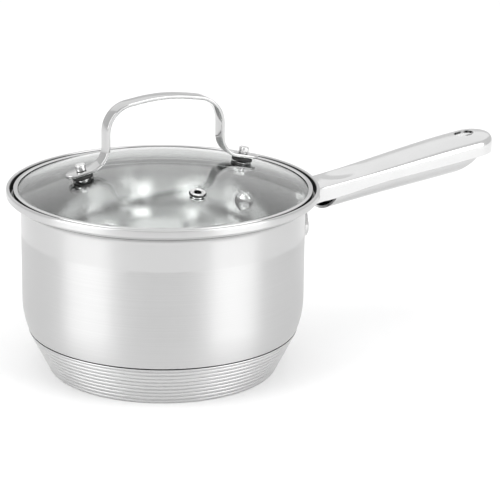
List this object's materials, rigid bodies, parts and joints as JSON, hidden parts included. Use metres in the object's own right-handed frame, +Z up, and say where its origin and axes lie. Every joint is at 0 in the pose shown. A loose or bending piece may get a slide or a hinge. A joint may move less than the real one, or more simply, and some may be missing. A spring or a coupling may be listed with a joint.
{
  "type": "saucepan with glass lid",
  "caption": "Stainless steel saucepan with a ringed encapsulated base, a riveted hollow handle and a domed glass lid with a strap handle and steam vent.",
  "frame": {"origin": "centre of the base's underside, on the pan's axis", "axes": "+Z up the pan's axis, +X along the pan's handle"},
  "size_m": [0.3205, 0.176, 0.1583],
  "materials": {
    "pan_steel": "satin, brushed round the wall, with a polished band under the lip",
    "base_steel": "satin, with turned rings",
    "core_aluminium": "plain rolled disc, hidden in the base",
    "handle_steel": "bright polished stainless steel",
    "rivet_steel": "bright polished stainless steel",
    "lid_glass": "clear tempered glass",
    "band_steel": "bright polished stainless steel",
    "strap_steel": "bright polished stainless steel with soft edges",
    "fastener_steel": "bright stainless steel",
    "seal_silicone": "matte dark silicone"
  },
  "bodies": {
    "pan": {"pan_body": "pan_steel", "base_cap": "base_steel", "base_core_disc": "core_aluminium", "handle_upper_shell": "handle_steel", "handle_lower_shell": "handle_steel", "handle_rivet_front": "rivet_steel", "handle_rivet_rear": "rivet_steel"},
    "lid": {"lid_glass": "lid_glass", "lid_rim_band": "band_steel", "lid_strap_handle": "strap_steel", "lid_screw_left": "fastener_steel", "lid_screw_right": "fastener_steel", "lid_nut_left": "fastener_steel", "lid_nut_right": "fastener_steel", "lid_inner_washer_left": "fastener_steel", "lid_inner_washer_right": "fastener_steel", "lid_pad_left": "seal_silicone", "lid_pad_right": "seal_silicone", "lid_bush_left": "seal_silicone", "lid_bush_right": "seal_silicone", "lid_inner_seal_left": "seal_silicone", "lid_inner_seal_right": "seal_silicone", "vent_eyelet": "fastener_steel", "vent_washer": "fastener_steel", "vent_seal": "seal_silicone"}
  },
  "joints": [
    {"name": "lid_lift", "type": "slide", "parent": "pan", "child": "lid", "axis": [0, 0, 1], "range_m": [0, 0.12]}
  ]
}
